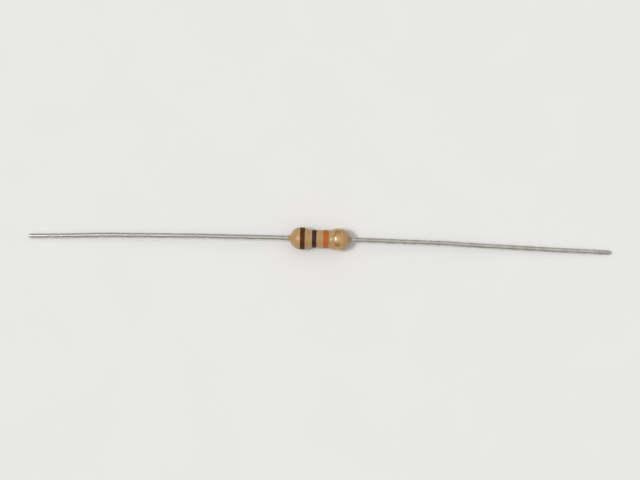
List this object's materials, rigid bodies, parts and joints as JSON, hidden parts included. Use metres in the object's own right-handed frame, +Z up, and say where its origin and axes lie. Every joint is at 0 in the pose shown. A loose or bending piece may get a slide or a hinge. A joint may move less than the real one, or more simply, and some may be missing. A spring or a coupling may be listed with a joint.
{
  "type": "axial resistor",
  "caption": "Carbon film axial resistor: dog-bone lacquered body with four colour bands, and a bendable tinned wire lead at each end.",
  "frame": {"origin": "on the surface that the resistor lies on, under the middle of its body", "axes": "+X along the leads, from the brown band to the gold one; +Z up from the surface"},
  "size_m": [0.0624, 0.0024, 0.0024],
  "materials": {
    "ceramic": "matte, fine grained",
    "carbon": "dull dark film",
    "cap_steel": "drawn and plated",
    "tinned_wire": "satin tin plating with drawing lines",
    "tan_lacquer": "satin dipped lacquer",
    "brown_paint": "satin paint",
    "black_paint": "satin paint",
    "orange_paint": "satin paint",
    "gold_paint": "metallic paint"
  },
  "bodies": {
    "root": {"ceramic_core": "ceramic", "carbon_film": "carbon", "end_cap_left": "cap_steel", "end_cap_right": "cap_steel", "lead_left": "tinned_wire", "lead_right": "tinned_wire", "lacquer_coat": "tan_lacquer", "first_digit_band": "brown_paint", "second_digit_band": "black_paint", "multiplier_band": "orange_paint", "tolerance_band": "gold_paint"}
  },
  "joints": []
}
